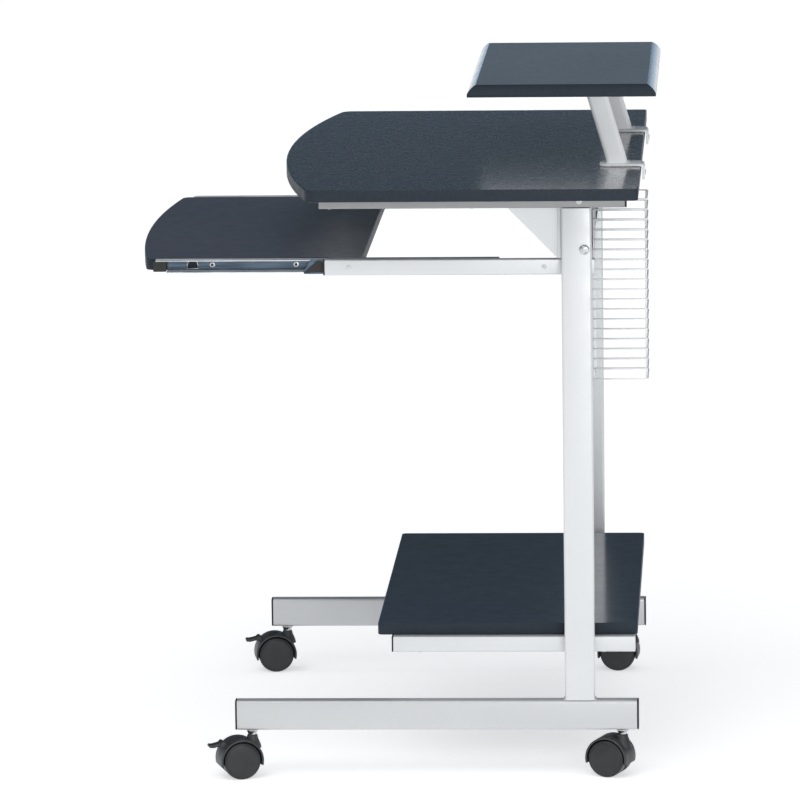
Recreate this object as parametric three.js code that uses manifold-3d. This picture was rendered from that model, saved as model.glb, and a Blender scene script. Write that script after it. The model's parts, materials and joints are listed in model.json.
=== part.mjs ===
// A computer desk on four twin-wheel casters, with a bow-fronted desktop, a raised monitor shelf,
// a keyboard tray on roller slides, a lower shelf and a wire rack for disc cases.
// Millimetres, +Z up, +X to the user's right, the user at -Y. The tray is pulled out. Y stations are
// measured from the middle of the foot beams, and the assembly is then moved along Y, so that the
// part's origin is on the floor under the middle of its outline.
import * as THREE from "three";
import { mergeVertices } from "three/addons/utils/BufferGeometryUtils.js";
import Module from "manifold-3d";

const wasm = await Module();
wasm.setup();

// Driving dimensions
const GAP = 0.3; // left between pieces that touch
const WALL = 1.2; // steel tube and slide wall
const BOARD = 15; // thickness of every board
const EASE = 0.8; // chamfer on the boards' edges
const PLUG = 8; // how far an end cap reaches into its tube
const PAST = 1; // how far a cutter runs beyond what it cuts

const FOOT = { outerX: 328, width: 20, halfLength: 254, bottom: 62, top: 100, corner: 3.5, cap: 2 };
const COLUMN = { front: 163, rear: 201, corner: 3 };
const DESK = {
  halfWidth: 390, rear: 260.5, sideFront: -152, centreFront: -199, frontCorner: 16, rearCorner: 5,
  top: 762,
};
const TOP_RAIL = { front: -140, rear: 243, height: 17, corner: 2.5 };
const GUSSET = { front: 95, rear: 172, tip: 158, bottom: 664, thickness: 2 };
const REAR_PANEL = {
  front: 184.5, bottom: 663.5, boltHeight: 677, headRadius: 6.4, headHeight: 3, headRim: 0.8, shank: 3,
};
const LOWER_SHELF = { halfWidth: 297, front: -75, rear: 255, top: 194, corner: 6 };
const SHELF_RAIL = { front: -55, rear: 252, height: 20, width: 20, corner: 2.5, cap: 1.8 };
const MONITOR_SHELF = {
  halfWidth: 239, front: 43, rear: 281.5, top: 873, steep: [8.5, 11], shallow: [11, 8.5],
};
const MONITOR_LEG = {
  x: 169, depth: 26.5, thickness: 15, footFront: 218, headFront: 191.5, headPlate: [186, 246],
  headThickness: 2.7,
};
const LEG_PLATE = {
  width: 38, front: 208, rear: 266, thickness: 3, flapBottom: 745, frontCorner: 12, headCorner: 4, weld: 8,
};
const TRAY = {
  halfWidth: 276, rear: -90, sideFront: -362.5, centreFront: -381.5, frontCorner: 10, rearCorner: 3,
  top: 661,
};
const TRAY_RAIL = { front: -135, rear: 204, width: 11.7, bottom: 642.5, top: 662.5, corner: 2, cap: 1.6 };
const FIXED_SLIDE = {
  top: 662, bottom: 643, depth: 12.7, front: -133, rear: 84, noseBottom: -162, noseTop: -153, noseStep: 3,
};
const MOVING_SLIDE = {
  top: 660.2, bottom: 644.8, depth: 13, flangeFront: -350, webFront: -336, flangeRear: -117, rear: -99,
  slot: [-310, -298], slotSill: 4, screws: [-279, -173], screwRadius: 2,
};
const ROLLERS = {
  height: 652.5, frontRadius: 6.2, frontY: -147, rearRadius: 8, rearY: -107, width: 5, pin: 1.6,
};
const RACK = {
  nearX: 294, farX: 213, rear: 270, wire: 1, post: 1.2, lowest: 507.2, pitch: 12.7, count: 19, bend: 6,
};
const CASTER = {
  x: 318, y: 235.5, wheelRadius: 24, trail: 17, webHalf: 3.4, wheelInner: 4, wheelOuter: 19, boreDepth: 9,
  fenderInner: 25.3, fenderOuter: 27.8, fenderHalf: 17.6, lip: 14, neckRadius: 6.6, neckTop: 54.6,
  neckBottom: 28, collarTop: 7.3, collarBottom: 5.4, stemRadius: 4, stemBottom: 46.5, stemTop: 84,
  axleRadius: 3, running: 0.3,
};
const CASTER_TURN = { right_front: 18, right_rear: -20, left_front: 10, left_rear: -5 };
const BRAKE = {
  lean: 46.3, pivot: 31.1, barrel: 3, halfWidth: 6.5, ear: 2.4, length: 17, drop: 4, thickness: 3,
};

const COLUMN_INNER = FOOT.outerX - FOOT.width;
const DESK_BOTTOM = DESK.top - BOARD;
const RAIL_TOP = DESK_BOTTOM - GAP;
const RAIL_BOTTOM = RAIL_TOP - TOP_RAIL.height;
const SHELF_BOTTOM = LOWER_SHELF.top - BOARD;
const BETWEEN_COLUMNS = COLUMN_INNER - GAP;
const TRAY_RAIL_INNER = BETWEEN_COLUMNS - TRAY_RAIL.width;
const FIXED_WEB = TRAY_RAIL_INNER - GAP;
const MOVING_WEB = TRAY.halfWidth + GAP;
const MOVING_SLIDE_TIP = MOVING_WEB + MOVING_SLIDE.depth;
const FRONT_ROLLER_TIP = MOVING_SLIDE_TIP - 1;
const REAR_ROLLER_TIP = MOVING_WEB + WALL + 2 * ROLLERS.width;
const boltAt = [REAR_PANEL.front + BOARD / 2, REAR_PANEL.boltHeight];
const SIDES = { right: 1, left: -1 };
const ENDS = { front: -1, rear: 1 };
const RAD = Math.PI / 180;

// Finishes
function finish(color, roughness, metalness) {
  return new THREE.MeshStandardMaterial({ color, roughness, metalness });
}

const LAMINATE = finish(0x414c57, 0.45, 0.0);
const SILVER_PAINT = finish(0xd4d7da, 0.42, 0.35);
const ZINC = finish(0x8c979f, 0.38, 0.8);
const BRIGHT_STEEL = finish(0xc9cccf, 0.3, 0.9);
const BLACK_PLASTIC = finish(0x17181a, 0.5, 0.0);
const NYLON = finish(0x2b2e31, 0.38, 0.0);
const WIRE = finish(0xdadcde, 0.35, 0.4);

// Solids

function toSolid(geometry) {
  const bare = geometry.index ? geometry.toNonIndexed() : geometry.clone();
  bare.deleteAttribute("normal");
  bare.deleteAttribute("uv");
  const merged = mergeVertices(bare, 1e-4);
  return new wasm.Manifold(
    new wasm.Mesh({
      numProp: 3,
      vertProperties: new Float32Array(merged.attributes.position.array),
      triVerts: new Uint32Array(merged.index.array),
    }),
  );
}

function toGeometry(solid) {
  const mesh = solid.getMesh();
  const geometry = new THREE.BufferGeometry();
  geometry.setAttribute("position", new THREE.BufferAttribute(mesh.vertProperties, 3));
  geometry.setIndex(new THREE.BufferAttribute(mesh.triVerts, 1));
  geometry.computeVertexNormals();
  return geometry;
}

function join(...geometries) {
  const solids = geometries.map(toSolid);
  return toGeometry(solids.reduce((whole, piece) => whole.add(piece)));
}

function cut(from, ...tools) {
  const solids = tools.map(toSolid);
  return toGeometry(solids.reduce((left, tool) => left.subtract(tool), toSolid(from)));
}

function overlap(a, b) {
  return toGeometry(toSolid(a).intersect(toSolid(b)));
}

// A box between two corners.
function box([x0, y0, z0], [x1, y1, z1]) {
  const geometry = new THREE.BoxGeometry(x1 - x0, y1 - y0, z1 - z0);
  return geometry.translate((x0 + x1) / 2, (y0 + y1) / 2, (z0 + z1) / 2);
}

// A cylinder along an axis ("x", "y" or "z") between two stations.
function rod(axis, radius, from, to, [a, b], sides = 16) {
  const geometry = new THREE.CylinderGeometry(radius, radius, to - from, sides);
  if (axis === "x") return geometry.rotateZ(Math.PI / 2).translate((from + to) / 2, a, b);
  if (axis === "y") return geometry.translate(a, (from + to) / 2, b);
  return geometry.rotateX(Math.PI / 2).translate(a, b, (from + to) / 2);
}

// Points of an arc, both ends included, angles in degrees.
function arc(x, y, radius, from, to, steps) {
  return Array.from({ length: steps + 1 }, (_, i) => {
    const angle = (from + ((to - from) * i) / steps) * RAD;
    return new THREE.Vector2(x + radius * Math.cos(angle), y + radius * Math.sin(angle));
  });
}

// A rectangle with rounded corners between two corners of its plane.
function roundedRectangle(x0, y0, x1, y1, radius, steps = 3) {
  return [
    ...arc(x1 - radius, y1 - radius, radius, 0, 90, steps),
    ...arc(x0 + radius, y1 - radius, radius, 90, 180, steps),
    ...arc(x0 + radius, y0 + radius, radius, 180, 270, steps),
    ...arc(x1 - radius, y0 + radius, radius, 270, 360, steps),
  ];
}

// The plan of a board whose front edge is one shallow arc that meets the sides in rounded corners.
function bowFront({ halfWidth, rear, sideFront, centreFront, frontCorner, rearCorner }) {
  const sag = sideFront - centreFront;
  const bowRadius = (halfWidth ** 2 + sag ** 2) / (2 * sag);
  const bowCentre = centreFront + bowRadius;
  const inset = halfWidth - frontCorner;
  const lean = Math.asin(inset / (bowRadius - frontCorner)) / RAD;
  const cornerY = bowCentre - Math.sqrt((bowRadius - frontCorner) ** 2 - inset ** 2);
  return [
    ...arc(inset, cornerY, frontCorner, -90 + lean, 0, 6),
    ...arc(halfWidth - rearCorner, rear - rearCorner, rearCorner, 0, 90, 3),
    ...arc(-halfWidth + rearCorner, rear - rearCorner, rearCorner, 90, 180, 3),
    ...arc(-inset, cornerY, frontCorner, 180, 270 - lean, 6),
    ...arc(0, bowCentre, bowRadius, -90 - lean, -90 + lean, 16).slice(1, -1),
  ];
}

// A board of a plan outline with eased edges.
function board(outline, top) {
  const geometry = new THREE.ExtrudeGeometry(new THREE.Shape(outline), {
    depth: BOARD - 2 * EASE,
    bevelEnabled: true,
    bevelThickness: EASE,
    bevelSize: EASE,
    bevelOffset: -EASE,
    bevelSegments: 1,
  });
  return geometry.translate(0, 0, top - BOARD + EASE);
}

// A section drawn as (x, z), run along Y.
function alongY(section, y0, y1, hole) {
  const shape = new THREE.Shape(section);
  if (hole) shape.holes.push(new THREE.Path(hole));
  const geometry = new THREE.ExtrudeGeometry(shape, { depth: y1 - y0, bevelEnabled: false });
  return geometry.rotateX(Math.PI / 2).translate(0, y1, 0);
}

// A profile of (radius, station) points that starts and ends on the axis, turned about X.
function turned(profile, sides) {
  const last = profile.length - 1;
  const closed = profile.map((p, i) => new THREE.Vector2(i === 0 || i === last ? 0 : p.x, p.y));
  return new THREE.LatheGeometry(closed, sides).rotateZ(-Math.PI / 2);
}

// A section drawn as (x, y), run along Z.
function alongZ(section, z0, z1, hole) {
  const shape = new THREE.Shape(section);
  if (hole) shape.holes.push(new THREE.Path(hole));
  return new THREE.ExtrudeGeometry(shape, { depth: z1 - z0, bevelEnabled: false }).translate(0, 0, z0);
}

// A section drawn as (y, z), run along X.
function alongX(section, x0, x1) {
  const shape = new THREE.Shape(section);
  const geometry = new THREE.ExtrudeGeometry(shape, { depth: x1 - x0, bevelEnabled: false });
  return geometry.rotateX(Math.PI / 2).rotateZ(Math.PI / 2).translate(x0, 0, 0);
}

// The two outlines of a rectangular tube's section.
function tubeSection(x0, z0, x1, z1, radius) {
  return {
    outer: roundedRectangle(x0, z0, x1, z1, radius),
    inner: roundedRectangle(x0 + WALL, z0 + WALL, x1 - WALL, z1 - WALL, radius - WALL),
  };
}

// A plastic cap on the end of a tube: a plate outside and a plug inside.
function tubeCap(x0, z0, x1, z1, radius, end, outward, thickness) {
  const slack = WALL + GAP;
  const face = end + outward * GAP;
  const tip = face + outward * thickness;
  const root = end - outward * PLUG;
  const rim = roundedRectangle(x0, z0, x1, z1, radius);
  const bore = roundedRectangle(x0 + slack, z0 + slack, x1 - slack, z1 - slack, radius - WALL);
  const plate = alongY(rim, Math.min(face, tip), Math.max(face, tip));
  const middle = (face + tip) / 2;
  const plug = alongY(bore, Math.min(root, middle), Math.max(root, middle));
  return join(plate, plug);
}

const desk = new THREE.Group();

function addMesh(parent, name, geometry, material) {
  const mesh = new THREE.Mesh(geometry, material);
  mesh.name = name;
  parent.add(mesh);
  return mesh;
}

// Geometry drawn for the right side, turned into its mirror image for the left side.
function onSide(side, geometry) {
  if (side > 0) return geometry;
  const mirror = geometry.index ? geometry.toNonIndexed() : geometry.clone();
  mirror.deleteAttribute("normal");
  mirror.deleteAttribute("uv");
  mirror.scale(-1, 1, 1);
  const at = mirror.attributes.position;
  const corner = new THREE.Vector3();
  const next = new THREE.Vector3();
  for (let i = 0; i < at.count; i += 3) {
    corner.fromBufferAttribute(at, i + 1);
    next.fromBufferAttribute(at, i + 2);
    at.setXYZ(i + 1, next.x, next.y, next.z);
    at.setXYZ(i + 2, corner.x, corner.y, corner.z);
  }
  mirror.computeVertexNormals();
  return mirror;
}

// Boards

function desktop() {
  addMesh(desk, "desktop", board(bowFront(DESK), DESK.top), LAMINATE);
}

function lowerShelf() {
  const { halfWidth, front, rear, top, corner } = LOWER_SHELF;
  const plan = roundedRectangle(-halfWidth, front, halfWidth, rear, corner);
  addMesh(desk, "lower_shelf", board(plan, top), LAMINATE);
}

function keyboardTray() {
  addMesh(desk, "keyboard_tray", board(bowFront(TRAY), TRAY.top), LAMINATE);
}

// The board across the desk's back that ties the two columns together.
function rearPanel() {
  const { front, bottom } = REAR_PANEL;
  const outline = [
    new THREE.Vector2(front, bottom),
    new THREE.Vector2(front + BOARD, bottom),
    new THREE.Vector2(front + BOARD, RAIL_TOP),
    new THREE.Vector2(front, RAIL_TOP),
  ];
  addMesh(desk, "rear_panel", alongX(outline, -BETWEEN_COLUMNS, BETWEEN_COLUMNS), LAMINATE);
}

// A slab whose top edges are cut back by [inwards, downwards].
function bevelled([inwards, downwards]) {
  const { halfWidth, front, rear, top } = MONITOR_SHELF;
  const plan = [
    new THREE.Vector2(-halfWidth, front),
    new THREE.Vector2(halfWidth, front),
    new THREE.Vector2(halfWidth, rear),
    new THREE.Vector2(-halfWidth, rear),
  ];
  const slab = new THREE.ExtrudeGeometry(new THREE.Shape(plan), {
    depth: BOARD,
    bevelThickness: downwards,
    bevelSize: inwards,
    bevelOffset: -inwards,
    bevelSegments: 1,
  });
  return slab.translate(0, 0, top - downwards - BOARD);
}

function monitorShelf() {
  const { halfWidth, front, rear, top, steep, shallow } = MONITOR_SHELF;
  const space = box([-halfWidth, front, top - BOARD], [halfWidth, rear, top]);
  addMesh(desk, "monitor_shelf", overlap(space, overlap(bevelled(steep), bevelled(shallow))), LAMINATE);
}

// A leaning flat-oval tube, welded to a plate that hooks over the desktop's rear edge and to one
// that screws under the monitor shelf.
function monitorLeg(name, side) {
  const { x, depth, thickness, footFront, headFront, headPlate, headThickness } = MONITOR_LEG;
  const { width, front, rear, flapBottom, frontCorner, weld } = LEG_PLATE;
  const plateBottom = DESK.top + GAP;
  const plateTop = plateBottom + LEG_PLATE.thickness;
  const headTop = MONITOR_SHELF.top - BOARD - GAP;
  const headBottom = headTop - headThickness;
  const half = width / 2;
  const oval = roundedRectangle(-thickness / 2, 0, thickness / 2, depth, thickness / 2 - 0.1, 5);
  const inPlate = LEG_PLATE.thickness / 3;
  const tube = alongZ(oval, 0, headTop - plateBottom - 2 * inPlate);
  const lean = (headFront - footFront) / (headBottom - plateTop);
  tube.applyMatrix4(new THREE.Matrix4().makeShear(0, 0, 0, 0, 0, lean));
  tube.translate(0, footFront, plateBottom + inPlate);
  const plan = [
    new THREE.Vector2(half, rear),
    new THREE.Vector2(-half, rear),
    ...arc(-half + frontCorner, front + frontCorner, frontCorner, 180, 270, 4),
    ...arc(half - frontCorner, front + frontCorner, frontCorner, 270, 360, 4),
  ];
  const footRear = footFront + depth;
  const weldSection = [
    new THREE.Vector2(footRear - weld, plateTop - inPlate),
    new THREE.Vector2(footRear + weld, plateTop - inPlate),
    new THREE.Vector2(footRear - weld / 2, plateTop + weld),
  ];
  const headPlan = roundedRectangle(-half, headPlate[0], half, headPlate[1], LEG_PLATE.headCorner);
  const leg = join(
    tube,
    alongZ(plan, plateBottom, plateTop),
    box([-half, rear - LEG_PLATE.thickness, flapBottom], [half, rear, plateTop]),
    alongX(weldSection, -thickness / 4, thickness / 4),
    alongZ(headPlan, headBottom, headTop),
  );
  addMesh(desk, name, leg.translate(side * x, 0, 0), SILVER_PAINT);
}

// The side frames

function footBeam(name, side) {
  const { outerX, halfLength, bottom, top, corner } = FOOT;
  const { outer, inner } = tubeSection(COLUMN_INNER, bottom, outerX, top, corner);
  const tube = alongY(outer, -halfLength, halfLength, inner);
  const bore = CASTER.stemRadius + GAP;
  const holes = Object.values(ENDS).map((ahead) => {
    return rod("z", bore, bottom - PAST, bottom + WALL + PAST, [CASTER.x, ahead * CASTER.y]);
  });
  addMesh(desk, name, onSide(side, cut(tube, ...holes)), SILVER_PAINT);
  for (const [end, ahead] of Object.entries(ENDS)) {
    const cap = tubeCap(COLUMN_INNER, bottom, outerX, top, corner, ahead * halfLength, ahead, FOOT.cap);
    addMesh(desk, `${name.replace("beam", "cap")}_${end}`, onSide(side, cap), BLACK_PLASTIC);
  }
}

// A column and the gusset plate welded to its inner face, which braces the top rail.
function column(name, side) {
  const { front, rear, corner } = COLUMN;
  const low = FOOT.top + GAP;
  const high = RAIL_BOTTOM - GAP;
  const outer = roundedRectangle(COLUMN_INNER, front, FOOT.outerX, rear, corner);
  const inner = roundedRectangle(
    COLUMN_INNER + WALL, front + WALL, FOOT.outerX - WALL, rear - WALL, corner - WALL,
  );
  const plateTop = high - GAP;
  const plate = [
    new THREE.Vector2(GUSSET.front, plateTop),
    new THREE.Vector2(GUSSET.tip, GUSSET.bottom),
    new THREE.Vector2(GUSSET.rear, GUSSET.bottom),
    new THREE.Vector2(GUSSET.rear, plateTop),
  ];
  const weldedTo = COLUMN_INNER + WALL / 2;
  const tube = join(alongZ(outer, low, high, inner), alongX(plate, weldedTo - GUSSET.thickness, weldedTo));
  const boltHole = rod("x", REAR_PANEL.shank + GAP, weldedTo - PAST, FOOT.outerX + PAST, boltAt);
  addMesh(desk, name, onSide(side, cut(tube, boltHole)), SILVER_PAINT);
}

function topRail(name, side) {
  const { front, rear, corner } = TOP_RAIL;
  const { outer, inner } = tubeSection(COLUMN_INNER, RAIL_BOTTOM, FOOT.outerX, RAIL_TOP, corner);
  addMesh(desk, name, onSide(side, alongY(outer, front, rear, inner)), SILVER_PAINT);
  const cap = tubeCap(COLUMN_INNER, RAIL_BOTTOM, FOOT.outerX, RAIL_TOP, corner, rear, 1, FOOT.cap);
  addMesh(desk, `${name}_cap`, onSide(side, cap), BLACK_PLASTIC);
}

function shelfRail(name, side) {
  const { front, rear, height, width, corner } = SHELF_RAIL;
  const top = SHELF_BOTTOM - GAP;
  const across = [BETWEEN_COLUMNS - width, top - height, BETWEEN_COLUMNS, top];
  const { outer, inner } = tubeSection(...across, corner);
  addMesh(desk, name, onSide(side, alongY(outer, front, rear, inner)), SILVER_PAINT);
  const cap = tubeCap(...across, corner, front, -1, SHELF_RAIL.cap);
  addMesh(desk, `${name}_cap`, onSide(side, cap), BLACK_PLASTIC);
}

function trayRail(name, side) {
  const { front, rear, bottom, top, corner } = TRAY_RAIL;
  const across = [TRAY_RAIL_INNER, bottom, BETWEEN_COLUMNS, top];
  const { outer, inner } = tubeSection(...across, corner);
  addMesh(desk, name, onSide(side, alongY(outer, front, rear, inner)), SILVER_PAINT);
  const cap = tubeCap(...across, corner, front, -1, TRAY_RAIL.cap);
  addMesh(desk, `${name}_cap`, onSide(side, cap), BLACK_PLASTIC);
}

// A low-domed bolt through the column, up to the end of the rear panel.
function panelBolt(name, side) {
  const { headRadius, headHeight, headRim, shank } = REAR_PANEL;
  const profile = [
    new THREE.Vector2(0, 0),
    new THREE.Vector2(headRadius, 0),
    new THREE.Vector2(headRadius, headRim),
    ...arc(0, 0, 1, 18, 90, 3).map((p) => new THREE.Vector2(p.x * headRadius, p.y * headHeight)),
  ];
  const head = turned(profile, 16).translate(FOOT.outerX + GAP, ...boltAt);
  const pin = rod("x", shank, COLUMN_INNER + GAP, FOOT.outerX + headRim, boltAt);
  addMesh(desk, name, onSide(side, join(head, pin)), BRIGHT_STEEL);
}

// The tray slides. Both members are channels: the fixed one opens towards the tray, the moving one
// away from it, and each carries a roller that runs inside the other.

function channel(web, tip, bottom, top) {
  const wall = Math.sign(tip - web) * WALL;
  return [
    new THREE.Vector2(web, bottom),
    new THREE.Vector2(tip, bottom),
    new THREE.Vector2(tip, bottom + WALL),
    new THREE.Vector2(web + wall, bottom + WALL),
    new THREE.Vector2(web + wall, top - WALL),
    new THREE.Vector2(tip, top - WALL),
    new THREE.Vector2(tip, top),
    new THREE.Vector2(web, top),
  ];
}

function fixedSlide(name, side) {
  const { top, bottom, depth, front, rear, noseBottom, noseTop, noseStep } = FIXED_SLIDE;
  const section = channel(FIXED_WEB, FIXED_WEB - depth, bottom, top).reverse();
  const nose = [
    new THREE.Vector2(front + WALL, bottom),
    new THREE.Vector2(front + WALL, top),
    new THREE.Vector2(noseTop, top),
    new THREE.Vector2(noseBottom, bottom + noseStep),
    new THREE.Vector2(noseBottom, bottom),
  ];
  const { height, frontY, width, pin } = ROLLERS;
  const pinTip = FRONT_ROLLER_TIP - width - GAP;
  const slide = join(
    alongY(section, front, rear),
    alongX(nose.reverse(), FIXED_WEB - WALL, FIXED_WEB),
    rod("x", pin, pinTip, FIXED_WEB - WALL / 2, [frontY, height], 12),
  );
  addMesh(desk, name, onSide(side, slide), ZINC);
}

function movingSlide(name, side) {
  const { top, bottom, flangeFront, webFront, flangeRear, rear } = MOVING_SLIDE;
  const { slot, slotSill, screws, screwRadius } = MOVING_SLIDE;
  const web = MOVING_WEB;
  const { height, rearY, pin } = ROLLERS;
  const middle = (slot[0] + slot[1]) / 2;
  const slotRadius = (slot[1] - slot[0]) / 2;
  const slotOutline = [
    new THREE.Vector2(slot[0], height - slotSill),
    new THREE.Vector2(slot[1], height - slotSill),
    ...arc(middle, height - PAST, slotRadius, 0, 180, 8),
  ];
  const outside = web + WALL + PAST;
  const slide = cut(
    join(
      alongY(channel(web, MOVING_SLIDE_TIP, bottom, top), webFront, flangeRear),
      box([web, flangeFront, top - WALL], [MOVING_SLIDE_TIP, webFront + WALL, top]),
      box([web, flangeRear - WALL, bottom], [web + WALL, rear, top]),
      rod("x", pin, web + WALL / 2, FIXED_WEB - WALL - 2 * GAP, [rearY, height], 12),
    ),
    alongX(slotOutline, web - PAST, outside),
    ...screws.map((y) => rod("x", screwRadius, web - PAST, outside, [y, height], 12)),
  );
  addMesh(desk, name, onSide(side, slide), ZINC);
}

// A roller on a pin. Its bore is open at both ends.
function slideRoller(name, side, radius, y, tip) {
  const at = [y, ROLLERS.height];
  const root = tip - ROLLERS.width;
  const bore = ROLLERS.pin + CASTER.running;
  const ring = cut(rod("x", radius, root, tip, at, 24), rod("x", bore, root - PAST, tip + PAST, at, 12));
  addMesh(desk, name, onSide(side, ring), BLACK_PLASTIC);
}

// One level of the disc rack: a flat U of wire, closed at the rear.
function rackWire(z) {
  const { nearX, farX, rear, wire, bend } = RACK;
  const front = COLUMN.rear + GAP;
  const bendY = rear - bend;
  const outline = [
    new THREE.Vector2(nearX + wire, front),
    ...arc(nearX - bend, bendY, bend + wire, 0, 90, 2),
    ...arc(farX + bend, bendY, bend + wire, 90, 180, 2),
    new THREE.Vector2(farX - wire, front),
    new THREE.Vector2(farX + wire, front),
    ...arc(farX + bend, bendY, bend - wire, 180, 90, 2),
    ...arc(nearX - bend, bendY, bend - wire, 90, 0, 2),
    new THREE.Vector2(nearX - wire, front),
  ];
  return alongZ(outline, z - wire, z + wire);
}

// The disc rack: a stack of wires welded to four upright posts and two ties.
function wireRack() {
  const { nearX, farX, rear, wire, post, lowest, pitch, count, bend } = RACK;
  const top = lowest + (count - 1) * pitch;
  const inside = post + wire / 2;
  const front = COLUMN.rear + GAP + post;
  const corners = [
    [nearX - inside, front],
    [farX + inside, front],
    [nearX - 2 * bend, rear - inside],
    [farX + 2 * bend, rear - inside],
  ];
  const posts = corners.map((at) => rod("z", post, lowest - wire, top + wire, at, 6));
  const ties = [lowest, top].map((z) => rod("x", post, farX, nearX, [front, z], 6));
  const wires = Array.from({ length: count }, (_, i) => rackWire(lowest + i * pitch));
  addMesh(desk, "wire_rack", join(...posts, ...ties, ...wires), WIRE);
}

// The casters. Each is drawn about its swivel axis, trailing towards -Y, and then turned.

// The hood between and over the two wheels: a fender, a web that carries the axle, and a neck.
function casterHood(braked) {
  const { wheelRadius, trail, webHalf, wheelOuter, fenderInner, fenderOuter, fenderHalf, lip } = CASTER;
  const { neckRadius, neckTop, neckBottom, stemRadius, stemBottom, axleRadius, running } = CASTER;
  const axle = [-trail, wheelRadius];
  const ringOutline = [
    ...arc(...axle, fenderOuter, -lip, 180 + lip, 13),
    ...arc(...axle, fenderInner, 180 + lip, -lip, 13),
  ];
  const webOutline = [
    ...arc(...axle, (fenderInner + fenderOuter) / 2, -lip, 180 + lip, 13),
    ...arc(...axle, 2 * axleRadius, 180 + lip, 360 - lip, 5),
  ];
  const well = rod("x", fenderInner, -wheelOuter, wheelOuter, axle, 26);
  const neck = cut(rod("z", neckRadius, neckBottom, neckTop, [0, 0], 16), well);
  const pieces = [
    alongX(ringOutline, -fenderHalf, fenderHalf),
    alongX(webOutline, -webHalf, webHalf),
    box([-webHalf, -neckRadius, neckBottom], [webHalf, neckRadius - GAP, stemBottom]),
    neck,
  ];
  if (braked) pieces.push(...brakeEars());
  return cut(
    join(...pieces),
    rod("z", stemRadius + running, stemBottom - running, neckTop + PAST, [0, 0]),
    rod("x", axleRadius + running, -webHalf - PAST, webHalf + PAST, axle),
  );
}

// Two ears on the fender that hold the brake lever's barrel between them.
function brakeEars() {
  const { lean, pivot, barrel, halfWidth, ear } = BRAKE;
  const root = (CASTER.fenderInner + CASTER.fenderOuter) / 2;
  const inner = halfWidth + GAP;
  const half = barrel + GAP;
  return Object.values(SIDES).map((side) => {
    const x = side * (inner + ear / 2);
    const tab = box([x - ear / 2, -half, root], [x + ear / 2, half, pivot + half]);
    return tab.rotateX(lean * RAD).translate(0, -CASTER.trail, CASTER.wheelRadius);
  });
}

const brakePivot = [
  -CASTER.trail - BRAKE.pivot * Math.sin(BRAKE.lean * RAD),
  CASTER.wheelRadius + BRAKE.pivot * Math.cos(BRAKE.lean * RAD),
];

function brakeLever() {
  const { barrel, halfWidth, length, drop, thickness } = BRAKE;
  const [y, z] = brakePivot;
  const root = barrel - 2 * GAP;
  const lip = thickness / 2;
  const tip = new THREE.Vector2(y - length, z - drop);
  const pad = [
    new THREE.Vector2(tip.x, tip.y),
    new THREE.Vector2(tip.x - lip, tip.y + thickness),
    new THREE.Vector2(tip.x, tip.y + thickness + lip),
    new THREE.Vector2(tip.x + thickness, tip.y + thickness),
    new THREE.Vector2(y, z + root),
    new THREE.Vector2(y, z - root),
  ].reverse();
  const round = rod("x", barrel, -halfWidth, halfWidth, [y, z], 16);
  return join(round, alongX(pad, -halfWidth, halfWidth));
}

// The fixed stem: a washer and collar under the beam and a pin that runs up into it.
function casterStem() {
  const { neckTop, collarTop, collarBottom, stemRadius, stemBottom, stemTop } = CASTER;
  const height = FOOT.bottom - neckTop - 2 * GAP;
  const collar = new THREE.CylinderGeometry(collarTop, collarBottom, height, 16).rotateX(Math.PI / 2);
  collar.translate(0, 0, (FOOT.bottom + neckTop) / 2);
  return join(collar, rod("z", stemRadius, stemBottom, stemTop, [0, 0], 16));
}

// One wheel, drawn on the +X side of the hood, domed outside and bored from inside.
function casterWheel() {
  const { wheelRadius: radius, wheelInner: inner, wheelOuter: outer, boreDepth } = CASTER;
  const bore = CASTER.axleRadius + CASTER.running;
  const profile = [
    [0, inner + boreDepth],
    [bore, inner + boreDepth],
    [bore, inner],
    [radius, inner],
    [radius, outer - 3.8],
    [radius - 1.6, outer - 1.8],
    [radius - 11, outer - 0.3],
    [0, outer],
  ];
  const wheel = turned(profile.map(([r, x]) => new THREE.Vector2(r, x)), 20);
  return wheel.translate(0, -CASTER.trail, radius);
}

function caster(name, turn, x, y, braked) {
  const { wheelInner, boreDepth, axleRadius, running, trail, wheelRadius } = CASTER;
  const group = new THREE.Group();
  group.position.set(x, y, 0);
  group.rotation.z = turn * RAD;
  desk.add(group);
  const reach = wheelInner + boreDepth - running;
  addMesh(group, `caster_stem_${name}`, casterStem(), BRIGHT_STEEL);
  addMesh(group, `caster_hood_${name}`, casterHood(braked), NYLON);
  const axle = rod("x", axleRadius, -reach, reach, [-trail, wheelRadius]);
  addMesh(group, `caster_axle_${name}`, axle, BRIGHT_STEEL);
  for (const [hand, side] of Object.entries(SIDES)) {
    addMesh(group, `caster_wheel_${name}_${hand}`, onSide(side, casterWheel()), NYLON);
  }
  if (braked) addMesh(group, `brake_lever_${name}`, brakeLever(), NYLON);
}

// Assembly

desktop();
monitorShelf();
lowerShelf();
rearPanel();
wireRack();
keyboardTray();

const { frontRadius, frontY, rearRadius, rearY } = ROLLERS;
for (const [hand, side] of Object.entries(SIDES)) {
  footBeam(`foot_beam_${hand}`, side);
  column(`column_${hand}`, side);
  topRail(`top_rail_${hand}`, side);
  shelfRail(`shelf_rail_${hand}`, side);
  trayRail(`tray_rail_${hand}`, side);
  panelBolt(`panel_bolt_${hand}`, side);
  monitorLeg(`monitor_leg_${hand}`, side);
  fixedSlide(`fixed_slide_${hand}`, side);
  movingSlide(`moving_slide_${hand}`, side);
  slideRoller(`front_roller_${hand}`, side, frontRadius, frontY, FRONT_ROLLER_TIP);
  slideRoller(`rear_roller_${hand}`, side, rearRadius, rearY, REAR_ROLLER_TIP);
  for (const [end, ahead] of Object.entries(ENDS)) {
    const name = `${hand}_${end}`;
    caster(name, CASTER_TURN[name], side * CASTER.x, ahead * CASTER.y, end === "front");
  }
}

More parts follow.
